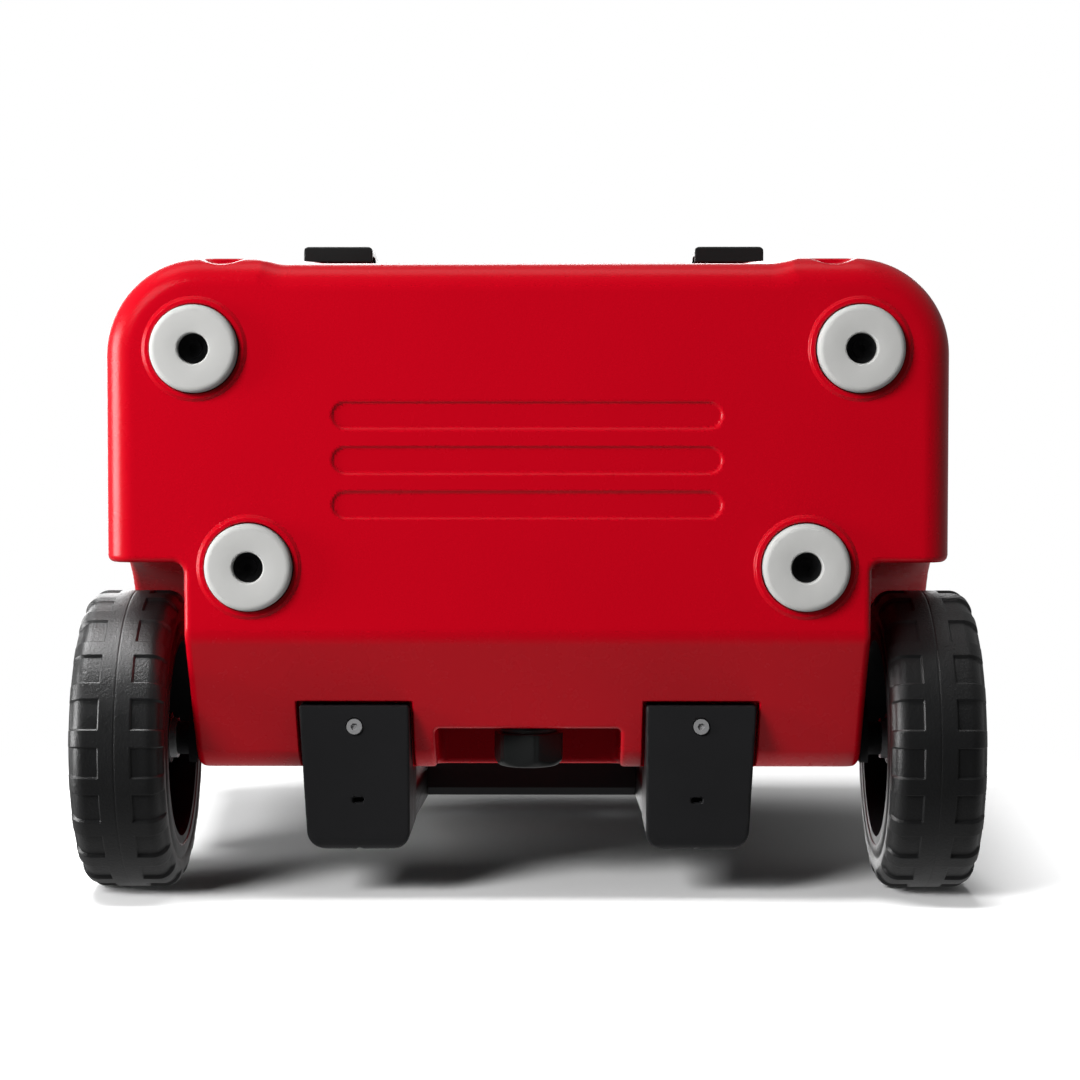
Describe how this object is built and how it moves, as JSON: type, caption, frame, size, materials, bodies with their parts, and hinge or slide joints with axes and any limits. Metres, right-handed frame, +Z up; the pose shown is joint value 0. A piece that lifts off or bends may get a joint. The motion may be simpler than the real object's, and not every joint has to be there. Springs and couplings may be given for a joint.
{
  "type": "cooler chest",
  "caption": "Insulated hard chest with a hinged lid, front latches, rear wheels, rubber feet, telescoping tow handle and screw-out drain plug.",
  "frame": {"origin": "on the ground, under the middle of the whole chest as it stands on its feet and tyres, closed and with the handle down", "axes": "+Z up, +Y towards the wheels and tow handle, +X to the right for a person who faces the latches"},
  "size_m": [0.537, 0.4065, 0.478],
  "materials": {
    "red_skin": "rotationally moulded polyethylene, satin, faint orange peel",
    "foam": "rigid polyurethane foam, closed inside the skins",
    "foot_rubber": "pale grey moulded rubber, matte",
    "seal_rubber": "grey soft rubber",
    "black_nylon": "black nylon, fine moulded texture",
    "latch_nylon": "black nylon, satin",
    "plug_plastic": "black plastic, satin",
    "hub_plastic": "black plastic, satin",
    "bush_plastic": "off-white acetal",
    "tyre_rubber": "black moulded tyre, grained",
    "black_aluminium": "black anodised aluminium, satin",
    "bright_steel": "stainless steel",
    "dark_steel": "darkened steel"
  },
  "bodies": {
    "tub": {"tub_shell": "red_skin", "tub_foam": "foam", "drain_bushing": "black_nylon", "foot_front_left": "foot_rubber", "foot_front_right": "foot_rubber", "foot_rear_left": "foot_rubber", "foot_rear_right": "foot_rubber", "foot_screws": "dark_steel", "handle_base_left": "black_nylon", "handle_base_right": "black_nylon", "handle_base_screws": "bright_steel", "handle_rail_left": "black_aluminium", "handle_rail_right": "black_aluminium", "handle_bracket": "black_nylon", "handle_bracket_screws": "bright_steel", "axle_plate_left": "black_nylon", "axle_plate_right": "black_nylon", "axle_plate_screws": "bright_steel", "axle_left": "bright_steel", "axle_right": "bright_steel", "axle_washers": "bright_steel", "axle_clips": "bright_steel", "hinge_ear_left": "black_nylon", "hinge_ear_right": "black_nylon", "hinge_screws": "bright_steel", "hinge_pins": "bright_steel", "latch_keeper_left": "black_nylon", "latch_keeper_right": "black_nylon", "keeper_screws": "bright_steel"},
    "lid": {"lid_shell": "red_skin", "lid_foam": "foam", "lid_gasket": "seal_rubber", "latch_mount_left": "black_nylon", "latch_mount_right": "black_nylon", "latch_mount_screws": "bright_steel", "latch_pins": "bright_steel", "hinge_bushes": "bush_plastic"},
    "latch_left": {"latch_lever_left": "latch_nylon"},
    "latch_right": {"latch_lever_right": "latch_nylon"},
    "wheel_left": {"tyre_left": "tyre_rubber", "hub_left": "hub_plastic", "wheel_bush_left": "bush_plastic", "hub_cap_left": "hub_plastic"},
    "wheel_right": {"tyre_right": "tyre_rubber", "hub_right": "hub_plastic", "wheel_bush_right": "bush_plastic", "hub_cap_right": "hub_plastic"},
    "handle_mid": {"mid_tube_left": "black_aluminium", "mid_tube_right": "black_aluminium", "mid_collars": "black_nylon"},
    "handle_grip": {"inner_tube_left": "black_aluminium", "inner_tube_right": "black_aluminium", "grip_body": "black_nylon", "grip_cover": "black_nylon", "grip_screws": "bright_steel", "button_springs": "bright_steel"},
    "button": {"release_button": "plug_plastic", "push_rods": "bright_steel"},
    "drain_follower": {"drain_seal": "seal_rubber"},
    "drain_screw": {"drain_plug": "plug_plastic"}
  },
  "joints": [
    {"name": "lid_open", "type": "hinge", "parent": "tub", "child": "lid", "pos_m": [0, 0.13175, 0.4555], "axis": [-1, 0, 0], "range_deg": [0, 93]},
    {"name": "latch_left_open", "type": "hinge", "parent": "lid", "child": "latch_left", "pos_m": [-0.141, -0.18725, 0.461], "axis": [-1, 0, 0], "range_deg": [0, 95]},
    {"name": "latch_right_open", "type": "hinge", "parent": "lid", "child": "latch_right", "pos_m": [0.141, -0.18725, 0.461], "axis": [-1, 0, 0], "range_deg": [0, 95]},
    {"name": "wheel_left_spin", "type": "hinge", "parent": "tub", "child": "wheel_left", "pos_m": [-0.2355, 0.11425, 0.089], "axis": [1, 0, 0], "continuous": true},
    {"name": "wheel_right_spin", "type": "hinge", "parent": "tub", "child": "wheel_right", "pos_m": [0.2355, 0.11425, 0.089], "axis": [1, 0, 0], "continuous": true},
    {"name": "handle_mid_slide", "type": "slide", "parent": "tub", "child": "handle_mid", "axis": [0, 0.0576, 0.9983], "range_m": [0, 0.25]},
    {"name": "handle_grip_slide", "type": "slide", "parent": "handle_mid", "child": "handle_grip", "axis": [0, 0.0576, 0.9983], "range_m": [0, 0.25]},
    {"name": "release_button_press", "type": "slide", "parent": "handle_grip", "child": "button", "axis": [0, -0.0576, -0.9983], "range_m": [0, 0.0035], "stiffness_N_per_m": 1500, "springref_m": -0.004},
    {"name": "drain_plug_lift", "type": "slide", "parent": "tub", "child": "drain_follower", "axis": [0, 1, 0], "range_m": [0, 0.0121]},
    {"name": "drain_plug_turn", "type": "hinge", "parent": "drain_follower", "child": "drain_screw", "pos_m": [0, 0.12, 0.074], "axis": [0, 1, 0], "range_deg": [0, 1080]}
  ],
  "couplings": [
    {"joint": "drain_plug_lift", "follows": "drain_plug_turn", "m_per_rad": 0.00063662}
  ]
}
